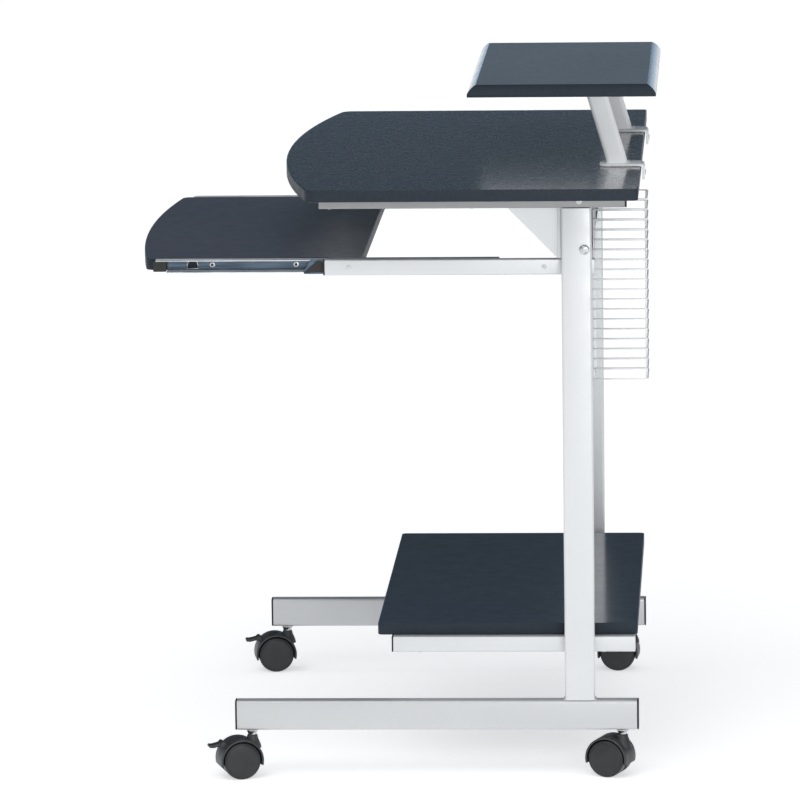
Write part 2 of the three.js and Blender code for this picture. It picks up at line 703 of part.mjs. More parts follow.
const part = new THREE.Group();
part.add(desk);
desk.position.y = -(TRAY.centreFront + MONITOR_SHELF.rear) / 2;

export default part;
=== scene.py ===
"""The computer desk's looks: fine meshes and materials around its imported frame."""
import json
import math

import bmesh
import bpy
from mathutils import Matrix, Vector

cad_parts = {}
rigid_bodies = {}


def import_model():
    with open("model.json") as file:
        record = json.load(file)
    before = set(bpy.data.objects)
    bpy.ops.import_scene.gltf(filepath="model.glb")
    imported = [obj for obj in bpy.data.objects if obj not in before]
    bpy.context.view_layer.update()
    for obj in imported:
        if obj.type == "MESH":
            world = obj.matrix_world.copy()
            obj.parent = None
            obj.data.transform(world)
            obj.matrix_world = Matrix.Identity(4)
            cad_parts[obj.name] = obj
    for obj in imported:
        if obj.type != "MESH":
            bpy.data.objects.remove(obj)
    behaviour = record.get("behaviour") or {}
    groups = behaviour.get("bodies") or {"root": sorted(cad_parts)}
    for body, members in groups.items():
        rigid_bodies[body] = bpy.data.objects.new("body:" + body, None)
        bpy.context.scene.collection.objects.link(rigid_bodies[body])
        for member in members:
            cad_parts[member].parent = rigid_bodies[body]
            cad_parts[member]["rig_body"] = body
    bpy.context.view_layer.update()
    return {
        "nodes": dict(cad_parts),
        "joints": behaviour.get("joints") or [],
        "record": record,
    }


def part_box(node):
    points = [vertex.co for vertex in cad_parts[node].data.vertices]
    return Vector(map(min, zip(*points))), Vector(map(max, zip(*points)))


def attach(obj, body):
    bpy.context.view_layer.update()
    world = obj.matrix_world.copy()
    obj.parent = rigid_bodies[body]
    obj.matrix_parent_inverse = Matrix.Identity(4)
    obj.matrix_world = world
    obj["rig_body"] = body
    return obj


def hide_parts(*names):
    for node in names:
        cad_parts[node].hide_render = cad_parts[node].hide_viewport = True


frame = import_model()

MM = 0.001  # the shapes below are drawn in millimetres
SIDES = {"right": 1, "left": -1}  # the user's hands, along X
ENDS = {"front": -1, "rear": 1}  # along Y
SLOT_OF = {row["node"]: row["material_slot"] for row in frame["record"]["subparts"]}
JOINTS = {joint["name"]: joint for joint in frame["joints"]}

# Driving dimensions that the frame's boxes don't give
DESK_BOW, DESK_CORNER, DESK_REAR_CORNER = 47, 16, 5
TRAY_BOW, TRAY_CORNER, TRAY_REAR_CORNER = 19, 10, 3
SHELF_CORNER, PANEL_CORNER = 6, 0.8
BOARD_EASE = 0.9
BEVEL_REACH, BEVEL_CREST = 11.0, 4.6  # of the monitor shelf's top edges
TUBE_CORNER, FLAT_TUBE_CORNER, TRAY_RAIL_CORNER, COLUMN_CORNER = 3.5, 2.4, 2.0, 3.2
COLUMN_DEPTH, GUSSET_DROP, GUSSET_SHEET = 38, 66, 1.4
CAP_PLATE = 2.0
LEG_DEPTH, LEG_WIDTH, LEG_LEAN = 26.5, 15, 26.5
LEG_SETBACK, LEG_PLATE_REACH, LEG_PLATE, LEG_PLATE_BEND = 48, 57.5, 3.0, 3.6
WIRE_RADIUS, POST_RADIUS, RACK_BEND, RACK_WIRES = 1.0, 1.2, 6, 19
AXLE = (-17, 24)  # a wheel's centre, behind its swivel axis and above the floor
LEVER_LEAN, LEVER_REACH = math.radians(46.3), 31.1  # a brake lever's pivot, round the axle


# Materials

def map_range(tree, value, low, high, bottom, top):
    """A value carried from one range to another."""
    node = tree.nodes.new("ShaderNodeMapRange")
    limits = {"From Min": low, "From Max": high, "To Min": bottom, "To Max": top}
    for name, number in limits.items():
        node.inputs[name].default_value = number
    tree.links.new(value, node.inputs["Value"])
    return node.outputs["Result"]


class Nodes:
    """A material's node tree, with its principled shader and coordinates in metres."""

    def __init__(self, name):
        self.material = bpy.data.materials.new(name)
        self.material.use_nodes = True
        self.tree = self.material.node_tree
        self.shader = self.tree.nodes["Principled BSDF"]
        self.where = self.tree.nodes.new("ShaderNodeTexCoord").outputs["Object"]

    def link(self, source, target):
        self.tree.links.new(source, target)

    def stretched(self, scale):
        mapping = self.tree.nodes.new("ShaderNodeMapping")
        mapping.inputs["Scale"].default_value = scale
        self.link(self.where, mapping.inputs["Vector"])
        return mapping.outputs["Vector"]

    def noise(self, scale, detail=2.0, stretch=None):
        noise = self.tree.nodes.new("ShaderNodeTexNoise")
        noise.inputs["Scale"].default_value = scale
        noise.inputs["Detail"].default_value = detail
        self.link(self.stretched(stretch) if stretch else self.where, noise.inputs["Vector"])
        return noise.outputs["Fac"]

    def cells(self, scale):
        cells = self.tree.nodes.new("ShaderNodeTexVoronoi")
        cells.inputs["Scale"].default_value = scale
        self.link(self.where, cells.inputs["Vector"])
        return cells.outputs["Color"]

    def ramp(self, value, low, high, colours):
        node = self.tree.nodes.new("ShaderNodeValToRGB")
        ramp = node.color_ramp
        places = [low + (high - low) * i / (len(colours) - 1) for i in range(len(colours))]
        while len(ramp.elements) < len(colours):
            ramp.elements.new(0.5)
        for element, place, colour in zip(ramp.elements, places, colours):
            element.position = place
            element.color = (*colour, 1.0)
        self.link(value, node.inputs["Fac"])
        return node.outputs["Color"]

    def mix(self, blend, share, first, second):
        node = self.tree.nodes.new("ShaderNodeMix")
        node.data_type = "RGBA"
        node.blend_type = blend
        node.inputs["Factor"].default_value = share
        self.link(first, node.inputs["A"])
        self.link(second, node.inputs["B"])
        return node.outputs["Result"]

    def span(self, value, low, high, bottom, top):
        return map_range(self.tree, value, low, high, bottom, top)

    def bump(self, height, depth, below=None):
        node = self.tree.nodes.new("ShaderNodeBump")
        node.inputs["Distance"].default_value = depth
        self.link(height, node.inputs["Height"])
        if below:
            self.link(below, node.inputs["Normal"])
        return node.outputs["Normal"]

    def set(self, **values):
        for name, value in values.items():
            socket = self.shader.inputs[name.replace("_", " ")]
            if hasattr(value, "links"):
                self.link(value, socket)
            else:
                socket.default_value = value


def shade(colour, factor):
    return tuple(channel * factor for channel in colour)


def laminate(name, colour, roughness, grain=1.0, coat=0.9, gloss=0.5):
    """Melamine laminate: a fine speckled print under a satin film with a faint orange peel."""
    n = Nodes(name)
    speckle = n.noise(900 * grain, 2.0)
    tones = [shade(colour, 0.45), colour, shade(colour, 1.8)]
    printed = n.ramp(speckle, 0.3, 0.7, tones)
    drift = n.ramp(n.noise(4.5, 3.0), 0.3, 0.7, [(0.86, 0.88, 0.92), (1.0, 1.0, 1.0)])
    n.set(
        Base_Color=n.mix("MULTIPLY", 1.0, printed, drift),
        Roughness=n.span(n.noise(55, 4.0), 0.3, 0.7, roughness - 0.03, roughness + 0.04),
        Specular_IOR_Level=gloss,
        Coat_Weight=coat,
        Coat_Roughness=0.13,
        Normal=n.bump(n.noise(1500, 2.0), 0.0000012),
    )
    return n.material


def powder_coat(name, colour, roughness=0.36, metallic=0.35):
    """Silver powder coat: fine metal flake, orange peel and a few rubbed patches."""
    n = Nodes(name)
    tones = [shade(colour, 0.9), colour, shade(colour, 1.07)]
    flake = n.ramp(n.noise(2600, 2.0), 0.3, 0.72, tones)
    rubbed = n.ramp(n.noise(9, 5.0), 0.35, 0.62, [(0.965, 0.965, 0.975), (1.0, 1.0, 1.0)])
    n.set(
        Base_Color=n.mix("MULTIPLY", 1.0, flake, rubbed),
        Metallic=metallic,
        Roughness=n.span(n.noise(38, 4.0), 0.3, 0.7, roughness - 0.05, roughness + 0.07),
        Normal=n.bump(n.noise(1300, 2.0), 0.00001, n.bump(n.noise(320, 2.0), 0.00001)),
    )
    return n.material


def rolled_zinc(name, colour, metallic=0.88):
    """Zinc-plated rolled strip: streaks along its length, faint spangle and dull patches."""
    n = Nodes(name)
    streaks = n.noise(60, 4.0, (6.0, 0.35, 9.0))
    tone = n.ramp(streaks, 0.3, 0.7, [shade(colour, 0.62), colour, shade(colour, 1.35)])
    spangle = n.ramp(n.cells(420), 0.0, 1.0, [(0.9, 0.92, 0.95), (1.0, 1.0, 1.0)])
    n.set(
        Base_Color=n.mix("MULTIPLY", 0.8, tone, spangle),
        Metallic=metallic,
        Roughness=n.span(n.noise(30, 5.0, (3.0, 0.6, 3.0)), 0.3, 0.7, 0.24, 0.46),
        Normal=n.bump(n.noise(240, 3.0, (4.0, 0.15, 4.0)), 0.00001),
    )
    return n.material


def plated_steel(name, colour):
    """Bright plated steel with turning marks and slight tarnish."""
    n = Nodes(name)
    tones = [shade(colour, 0.72), colour, shade(colour, 1.12)]
    tarnish = n.ramp(n.noise(160, 4.0), 0.3, 0.75, tones)
    n.set(
        Base_Color=tarnish,
        Metallic=1.0,
        Roughness=n.span(n.noise(420, 3.0), 0.3, 0.7, 0.16, 0.34),
        Normal=n.bump(n.noise(900, 2.0, (1.0, 1.0, 5.0)), 0.00002),
    )
    return n.material


def moulded_plastic(name, colour, roughness):
    """Injection-moulded plastic: spark-eroded grain, flow marks and paler rubbed spots."""
    n = Nodes(name)
    tones = [shade(colour, 0.78), colour, shade(colour, 1.3)]
    flow = n.ramp(n.noise(70, 4.0), 0.3, 0.72, tones)
    dust = n.ramp(n.noise(1900, 2.0), 0.45, 0.8, [(1.0, 1.0, 1.0), (1.25, 1.25, 1.25)])
    n.set(
        Base_Color=n.mix("MULTIPLY", 1.0, flow, dust),
        Roughness=n.span(n.noise(90, 4.0), 0.3, 0.7, roughness - 0.05, roughness + 0.09),
        Normal=n.bump(n.noise(1400, 2.0), 0.00002),
    )
    return n.material


GRAPHITE = (0.016, 0.027, 0.042)
SILVER = (0.70, 0.715, 0.725)
M = {
    "laminate": laminate("graphite_laminate", GRAPHITE, 0.27),
    # A lighter, scarcely coated copy of the graphite laminate for the keyboard tray: its raised
    # colour is painted light in place of the desktop's sheen.
    "tray": laminate("tray_painted_light_laminate", (0.073, 0.079, 0.106), 0.36, coat=0.1, gloss=0.4),
    # A lighter copy of the graphite laminate for the lower shelf: painted light.
    "shelf": laminate("shelf_laminate", shade(GRAPHITE, 1.7), 0.33),
    # A lighter copy of the graphite laminate for the monitor shelf's flat top: painted light on the
    # top face.
    "raised": laminate("raised_shelf_laminate", (0.165, 0.208, 0.250), 0.36, coat=0.8),
    "panel": laminate("panel_laminate", shade(GRAPHITE, 0.8), 0.7, coat=0.0, gloss=0.1),
    "band": laminate("edge_band", shade(GRAPHITE, 0.75), 0.5, 1.4, coat=0.0, gloss=0.3),
    "silver_paint": powder_coat("silver_powder_coat", SILVER),
    # A slightly darker copy of the silver coat for the foot beams: painted shade, offsetting the
    # bright floor's light on them.
    "beam": powder_coat("beam_painted_shade_coat", shade(SILVER, 0.84)),
    # A lighter, unmetallic copy of the silver coat for the monitor legs: painted light against the
    # shade of the shelf above them.
    "leg": powder_coat("leg_painted_light_coat", shade(SILVER, 1.3), 0.40, 0.0),
    # A darker copy of the silver coat for the top rails: painted shade from the desktop's overhang.
    "rail": powder_coat("top_rail_painted_shade_coat", shade(SILVER, 0.46), 0.40),
    "zinc": rolled_zinc("zinc_strip", (0.10, 0.135, 0.175)),
    # A pale, unmetallic copy of the zinc for the moving member's upward faces and edge rods:
    # painted highlight.
    "flange": rolled_zinc("zinc_painted_highlight", (0.72, 0.74, 0.76), 0.0),
    "bright_steel": plated_steel("plated_steel", (0.58, 0.59, 0.6)),
    "black_plastic": moulded_plastic("black_cap_plastic", (0.008, 0.008, 0.009), 0.38),
    "nylon": moulded_plastic("wheel_nylon", (0.012, 0.0135, 0.016), 0.38),
    "hood": moulded_plastic("hood_nylon", (0.030, 0.031, 0.033), 0.42),
    "wire": powder_coat("wire_coat", (0.86, 0.87, 0.88), 0.3, 0.1),
}


# Outlines and shells. A shell is a list of rings of points, closed at both ends.

def arc(x, y, radius, start, end, steps):
    turn = [math.radians(start + (end - start) * i / steps) for i in range(steps + 1)]
    return [(x + radius * math.cos(a), y + radius * math.sin(a)) for a in turn]


def rounded(x0, y0, x1, y1, radius, steps=6):
    return (
        arc(x1 - radius, y1 - radius, radius, 0, 90, steps)
        + arc(x0 + radius, y1 - radius, radius, 90, 180, steps)
        + arc(x0 + radius, y0 + radius, radius, 180, 270, steps)
        + arc(x1 - radius, y0 + radius, radius, 270, 360, steps)
    )


def bow_front(low, high, bow, corner, rear_corner):
    """A board's plan whose front edge is one shallow arc that runs into rounded corners."""
    half = high[0]
    side_front = low[1] + bow
    radius = (half**2 + bow**2) / (2 * bow)
    centre = low[1] + radius
    inset_x = half - corner
    lean = math.degrees(math.asin(inset_x / (radius - corner)))
    corner_y = centre - math.sqrt((radius - corner) ** 2 - inset_x**2)
    assert corner_y > side_front
    return (
        arc(inset_x, corner_y, corner, -90 + lean, 0, 20)
        + arc(half - rear_corner, high[1] - rear_corner, rear_corner, 0, 90, 8)
        + arc(-half + rear_corner, high[1] - rear_corner, rear_corner, 90, 180, 8)
        + arc(-inset_x, corner_y, corner, 180, 270 - lean, 20)
        + arc(0, centre, radius, -90 - lean, -90 + lean, 64)[1:-1]
    )


def inset(outline, distance):
    """The outline drawn smaller by a distance; it runs anticlockwise."""
    if not distance:
        return outline
    count = len(outline)
    moved = []
    for i, (x, y) in enumerate(outline):
        before, after = outline[i - 1], outline[(i + 1) % count]
        first = Vector((x - before[0], y - before[1])).normalized()
        second = Vector((after[0] - x, after[1] - y)).normalized()
        inward = Vector((-first.y - second.y, first.x + second.x))
        inward /= max(0.25, inward.length_squared / 2)
        moved.append((x + inward.x * distance, y + inward.y * distance))
    return moved


PLANES = {
    "xy": lambda u, v, w: (u, v, w),
    "xz": lambda u, v, w: (u, w, v),
    "yz": lambda u, v, w: (w, u, v),
}
ACROSS = {"x": "yz", "z": "xy"}


def slab(outline, plane, start, end, ease=0.5, steps=3):
    """An outline run from start to end across its plane, with rounded rims."""
    place = PLANES[plane]
    stations = [(2 * ease, start)]
    for i in range(steps + 1):
        a = math.pi / 2 * i / steps
        stations.append((ease - ease * math.sin(a), start + ease - ease * math.cos(a)))
    stations += [(inwards, end + start - at) for inwards, at in reversed(stations)]
    return [[place(u, v, at) for u, v in inset(outline, inwards)] for inwards, at in stations]


def turned(profile, axis, centre=(0, 0), sides=40):
    """Rings of (radius, station) points about an axis that passes through a centre."""
    place = PLANES[ACROSS[axis]]
    rings = []
    for radius, at in profile:
        circle = arc(*centre, max(radius, 0.02), 0, 360 - 360 / sides, sides - 1)
        rings.append([place(u, v, at) for u, v in circle])
    return rings


def spokes(ahead, side, count):
    """Unit vectors all round a direction, from one across it."""
    up = ahead.cross(side)
    turn = [2 * math.pi * k / count for k in range(count)]
    return [side * math.cos(a) + up * math.sin(a) for a in turn]


def swept(path, radius, sides=12):
    """A round wire along a path, with its ends rounded over."""
    taper = 0.3
    points = [Vector(p) for p in path]
    rings = []
    side = None
    for i, point in enumerate(points):
        ahead = points[min(i + 1, len(points) - 1)] - points[max(i - 1, 0)]
        ahead.normalize()
        if side is None:
            side = ahead.orthogonal().normalized()
        side = (side - ahead * side.dot(ahead)).normalized()
        stations = [(0.0, radius)]
        if i == 0:
            stations = [(0.0, radius * (1 - taper)), (radius * taper, radius)]
        if i == len(points) - 1:
            stations = [(-radius * taper, radius), (0.0, radius * (1 - taper))]
        for along, reach in stations:
            centre = point + ahead * along
            rings.append([tuple(centre + spoke * reach) for spoke in spokes(ahead, side, sides)])
    return rings


def closed_mesh(name, shells, place=None, mirror=False, scale=1.0):
    """A mesh of closed shells, with its faces turned outwards."""
    bm = bmesh.new()
    for rings in shells:
        rows = [[bm.verts.new(point) for point in ring] for ring in rings]
        count = len(rows[0])
        for a, b in zip(rows, rows[1:]):
            for i in range(count):
                j = (i + 1) % count
                bm.faces.new((a[i], a[j], b[j], b[i]))
        bm.faces.new(rows[0][::-1])
        bm.faces.new(rows[-1])
    if mirror:
        for vert in bm.verts:
            vert.co.x *= -1
    if place:
        bm.transform(place)
    bmesh.ops.recalc_face_normals(bm, faces=bm.faces)
    bm.transform(Matrix.Scale(scale, 4))
    mesh = bpy.data.meshes.new(name)
    bm.to_mesh(mesh)
    bm.free()
    return mesh


def make(name, shells, material, body, slot, replaces=(), place=None, mirror=False, crease=32):
    """One piece of closed shells, drawn in millimetres and placed in the frame in metres."""
    mesh = closed_mesh(name, shells, place, mirror, MM)
    return show(name, mesh, material, body, replaces, crease)


def show(name, mesh, material, body, replaces=(), crease=32):
    """The mesh as a smooth-shaded piece that keeps its sharp edges."""
    mesh.shade_smooth()
    mesh.set_sharp_from_angle(angle=math.radians(crease))
    mesh.materials.append(material)
    piece = bpy.data.objects.new(name, mesh)
    bpy.context.scene.collection.objects.link(piece)
    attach(piece, body)
    if replaces:
        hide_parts(*replaces)
    return piece


def corners(node):
    """The low and high corners of a CAD node's box, in millimetres."""
    low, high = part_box(node)
    return tuple(low / MM), tuple(high / MM)


def body_of(node):
    return frame["nodes"][node]["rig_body"]


def remake(name, node, shells, material=None, **options):
    """A fine piece that stands for one CAD node, on its body and in its slot."""
    slot = SLOT_OF[node]
    return make(name, shells, material or M[slot], body_of(node), slot, (node,), **options)


# Boards

def band_edges(piece):
    """The upright faces of a board wear an edge band."""
    piece.data.materials.append(M["band"])
    for face in piece.data.polygons:
        if abs(face.normal.z) < 0.6:
            face.material_index = 1


def board(node, outline, surface):
    low, high = corners(node)
    shell = slab(outline, "xy", low[2], high[2], BOARD_EASE, 4)
    return remake(f"{node}_board", node, [shell], surface)


def boards():
    bows = {
        "desktop": ((DESK_BOW, DESK_CORNER, DESK_REAR_CORNER), M["laminate"]),
        # The tray wears its lighter laminate copy, which is painted light.
        "keyboard_tray": ((TRAY_BOW, TRAY_CORNER, TRAY_REAR_CORNER), M["tray"]),
    }
    for node, (bow, surface) in bows.items():
        band_edges(board(node, bow_front(*corners(node), *bow), surface))
    low, high = corners("lower_shelf")
    outline = rounded(low[0], low[1], high[0], high[1], SHELF_CORNER, 10)
    # The lower shelf wears its lighter laminate copy, which is painted light.
    band_edges(board("lower_shelf", outline, M["shelf"]))
    low, high = corners("rear_panel")
    board("rear_panel", rounded(low[0], low[1], high[0], high[1], PANEL_CORNER, 3), M["panel"])


def monitor_shelf():
    """A board whose four top edges are cut back by a wide, slightly crowned bevel; its flat top
    wears a lighter copy of the laminate, which is painted light.
    """
    low, high = corners("monitor_shelf")
    outline = [(low[0], low[1]), (high[0], low[1]), (high[0], high[1]), (low[0], high[1])]
    steps = 8
    crown = []
    for i in range(steps + 1):
        share = i / steps
        bulge = 4 * share * (1 - share) * (BEVEL_REACH / 2 - BEVEL_CREST)
        crown.append((BEVEL_REACH * share - bulge, high[2] - BEVEL_REACH * (1 - share) + bulge))
    ease = 0.8
    stations = [(2.5, low[2]), (ease, low[2]), (0.25, low[2] + 0.25), (0.0, low[2] + ease)]
    stations += crown
    stations += [(BEVEL_REACH + 0.5, high[2]), (BEVEL_REACH + 3, high[2])]
    rings = [[(x, y, at) for x, y in inset(outline, inwards)] for inwards, at in stations]
    piece = remake("monitor_shelf_board", "monitor_shelf", [rings], M["laminate"], crease=18)
    piece.data.materials.append(M["raised"])
    piece.data.materials.append(M["band"])
    for face in piece.data.polygons:
        # The flat top takes the lighter laminate copy, painted light.
        if face.normal.z > 0.99:
            face.material_index = 1
        # Upright faces take the edge band. The bevels facing ±X take it too, and on them its matte
        # dark face is painted shade in place of their reflection.
        elif abs(face.normal.x) > 0.3 or abs(face.normal.z) < 0.2:
            face.material_index = 2


# Side frames

def rail(name, node, corner, material=None):
    low, high = corners(node)
    outline = rounded(low[0], low[2], high[0], high[2], corner)
    return remake(name, node, [slab(outline, "xz", low[1], high[1], 0.35)], material)


def cap(name, node, end, corner):
    """An end cap: a plate with a softly rounded rim, and the plug inside the tube."""
    low, high = corners(node)
    out = ENDS[end]
    tip = high[1] if out > 0 else low[1]
    outline = rounded(low[0], low[2], high[0], high[2], corner)
    plate = slab(outline, "xz", *sorted((tip, tip - out * CAP_PLATE)), 0.7, 4)
    plug_ends = sorted((tip - out * 1.5, tip - out * (high[1] - low[1])))
    plug = slab(inset(outline, 1.6), "xz", *plug_ends, 0.3)
    remake(name, node, [plate, plug])


def weld(name, start, end, radius):
    """A fillet bead with the ripples of a hand weld."""
    start, end = Vector(start), Vector(end)
    steps = max(6, int((end - start).length / 0.5))
    rings = []
    ahead = (end - start).normalized()
    side = ahead.orthogonal().normalized()
    for i in range(steps + 1):
        share = i / steps
        ripple = 1 + 0.12 * math.sin(share * steps * 1.6)
        closing = min(1.0, 0.35 + 4 * min(share, 1 - share))
        reach = radius * ripple * closing
        centre = start.lerp(end, share)
        rings.append([tuple(centre + spoke * reach) for spoke in spokes(ahead, side, 10)])
    return make(name, [rings], M["silver_paint"], "frame", "silver_paint", crease=60)


def side_frames():
    for hand, side in SIDES.items():
        # The foot beams wear the darker silver copy, which is painted shade.
        rail(f"foot_beam_tube_{hand}", f"foot_beam_{hand}", TUBE_CORNER, material=M["beam"])
        # The top rails wear the darker silver copy, which is painted shade under the desktop.
        rail(f"top_rail_tube_{hand}", f"top_rail_{hand}", FLAT_TUBE_CORNER, material=M["rail"])
        rail(f"shelf_rail_tube_{hand}", f"shelf_rail_{hand}", FLAT_TUBE_CORNER)
        rail(f"tray_rail_tube_{hand}", f"tray_rail_{hand}", TRAY_RAIL_CORNER)
        for end in ENDS:
            cap(f"foot_end_cap_{hand}_{end}", f"foot_cap_{hand}_{end}", end, TUBE_CORNER)
        for kind, end, corner in (
            ("top", "rear", FLAT_TUBE_CORNER),
            ("shelf", "front", FLAT_TUBE_CORNER),
            ("tray", "front", TRAY_RAIL_CORNER),
        ):
            cap(f"{kind}_rail_end_cap_{hand}", f"{kind}_rail_{hand}_cap", end, corner)
        column(hand, side)


def column(hand, side):
    """The upright tube, the gusset plate under its rail with the plate's flange, and the welds."""
    node = f"column_{hand}"
    low, high = corners(node)
    beam_low, beam_high = corners(f"foot_beam_{hand}")
    outer = max(abs(low[0]), abs(high[0]))
    inner = beam_low[0] if side > 0 else -beam_high[0]
    rear, top = high[1], high[2]
    front = rear - COLUMN_DEPTH
    tube = slab(rounded(inner, front, outer, rear, COLUMN_CORNER), "xy", low[2], top, 0.3)
    tip = low[1]
    outline = [
        (tip + 1, top - 0.6),
        (tip + 0.3, top - 1.6),
        (front - 5, top - GUSSET_DROP),
        (front + 8, top - GUSSET_DROP),
        (front + 8, top - 0.6),
    ]
    gusset = slab(outline, "yz", inner - GUSSET_SHEET, inner + 0.6, 0.4, 2)
    strip = rounded(inner - GUSSET_SHEET, front - 4.6, inner + 5.5, front - 0.4, 0.6, 3)
    flange = slab(strip, "xy", top - (GUSSET_DROP - 1.5), top - 1, 0.4)
    remake(f"column_tube_{hand}", node, [tube, gusset, flange], mirror=side < 0)
    for end, y in (("front", front - 0.2), ("rear", rear + 0.2)):
        for place, z, radius in (("foot", low[2] + 0.2, 1.7), ("head", top, 1.5)):
            start, stop = (side * (inner + 2), y, z), (side * (outer - 2), y, z)
            weld(f"column_{place}_weld_{hand}_{end}", start, stop, radius)


# Fasteners

def cross_head(radius, height):
    """The mesh of a domed screw head along +X with a cross recess, on the origin."""
    dome = [(radius * 0.5, -0.4), (radius * 0.94, -0.4), (radius, 0.0), (radius, height * 0.25)]
    for i in range(1, 9):
        a = math.pi / 2 * i / 9
        dome.append((radius * math.cos(a), height * (0.25 + 0.75 * math.sin(a))))
    dome.append((radius * 0.04, height))
    head = closed_mesh("head", [turned(dome, "x")])
    arm, slot = radius * 0.55, radius * 0.13
    for u, v, depth in ((arm, slot, 0.0), (slot, arm, 0.01)):
        outline = rounded(-u, -v, u, v, slot * 0.6, 2)
        tool = slab(outline, "yz", height * (0.3 + depth), height + 1 + 10 * depth, 0.05, 1)
        head = carved(head, closed_mesh("tool", [tool]))
    return head


def carved(mesh, tool_mesh):
    """The first mesh with the second cut away from it."""
    scene = bpy.context.scene.collection.objects
    body = bpy.data.objects.new("carved", mesh)
    tool = bpy.data.objects.new("tool", tool_mesh)
    scene.link(body)
    scene.link(tool)
    cut = body.modifiers.new("cut", "BOOLEAN")
    cut.object = tool
    cut.solver = "EXACT"
    depsgraph = bpy.context.evaluated_depsgraph_get()
    result = bpy.data.meshes.new_from_object(body.evaluated_get(depsgraph))
    bpy.data.objects.remove(body)
    bpy.data.objects.remove(tool)
    return result


HEADS = {
    "screw": (cross_head(4.0, 2.0), M["bright_steel"]),
    "small_screw": (cross_head(2.9, 1.5), M["silver_paint"]),
    "bolt": (cross_head(6.4, 3.0), M["bright_steel"]),
}
FACING = {
    "+x": Matrix.Identity(4),
    "-x": Matrix.Rotation(math.pi, 4, "Z"),
    "+y": Matrix.Rotation(math.pi / 2, 4, "Z"),
    "-z": Matrix.Rotation(math.pi / 2, 4, "Y"),
}


def screw(name, kind, at, facing, turn=0.0, replaces=()):
    """A screw's head at a place in millimetres, its recess turned by some degrees."""
    head, material = HEADS[kind]
    mesh = head.copy()
    spin = Matrix.Rotation(math.radians(turn), 4, "X")
    mesh.transform(Matrix.Scale(MM, 4) @ Matrix.Translation(at) @ FACING[facing] @ spin)
    return show(name, mesh, material, "frame", replaces)


def fasteners():
    for hand, side in SIDES.items():
        out = "+x" if side > 0 else "-x"
        low, high = corners(f"column_{hand}")
        reach = max(abs(low[0]), abs(high[0]))
        face = side * reach
        bolt = f"panel_bolt_{hand}"
        bolt_low, bolt_high = corners(bolt)
        at = (face + side * 0.2, (bolt_low[1] + bolt_high[1]) / 2, (bolt_low[2] + bolt_high[2]) / 2)
        screw(f"panel_bolt_head_{hand}", "bolt", at, out, 20, replaces=(bolt,))
        rail_low, rail_high = corners(f"top_rail_{hand}")
        at = (face, high[1] - 15, (rail_low[2] + rail_high[2]) / 2)
        screw(f"top_rail_screw_{hand}", "screw", at, out, 35)
        for number, y in enumerate((rail_low[1] + 13, (rail_low[1] + rail_high[1]) / 2)):
            at = (side * (reach - 10), y, rail_low[2])
            screw(f"desktop_screw_{hand}_{number + 1}", "small_screw", at, "-z", 10 * number)
        tray_low, tray_high = corners(f"tray_rail_{hand}")
        tray_face = side * max(abs(tray_low[0]), abs(tray_high[0]))
        for number, y in enumerate((tray_low[1] + 30, low[1] + 46)):
            at = (tray_face, y, (tray_low[2] + tray_high[2]) / 2)
            screw(f"tray_rail_screw_{hand}_{number + 1}", "small_screw", at, out, 25 * number)
        shelf_low, shelf_high = corners(f"shelf_rail_{hand}")
        for number, y in enumerate((shelf_low[1] + 33, shelf_high[1] - 40)):
            at = (side * (reach - 30.3), y, shelf_low[2])
            screw(f"shelf_screw_{hand}_{number + 1}", "screw", at, "-z", 40 * number)


# Monitor shelf legs

def narrowed(half, radius, travel):
    """A strip's half width near its end, whose corners are rounded to a radius."""
    if travel >= radius:
        return half
    return half - radius + math.sqrt(max(0.0, radius**2 - (radius - travel) ** 2))


def leg_plate(x, half, front, rear, top, bottom):
    """The strip on the desktop whose rear end is bent down over the desktop's edge."""
    thick, bend = LEG_PLATE, LEG_PLATE_BEND
    middle = top - thick / 2
    drop_y = rear - thick / 2
    stations = [(front + s, middle, 0.0) for s in (0.15, 0.6, 1.5, 3, 5, 7.5, 10, 12)]
    stations.append((drop_y - bend, middle, 0.0))
    for k in range(1, 7):
        a = math.pi / 2 * k / 6
        stations.append((drop_y - bend + bend * math.sin(a), middle - bend + bend * math.cos(a), a))
    stations += [(drop_y, bottom + s, math.pi / 2) for s in (6, 4, 2, 0.8, 0.1)]
    rings = []
    for y, z, lean in stations:
        width = narrowed(half, 6, z - bottom) if lean else narrowed(half, 12, y - front)
        normal = Vector((0, math.sin(lean), math.cos(lean)))
        section = rounded(-width, -thick / 2, width, thick / 2, 0.5, 3)
        rings.append([(x + u, y + normal.y * v, z + normal.z * v) for u, v in section])
    return rings


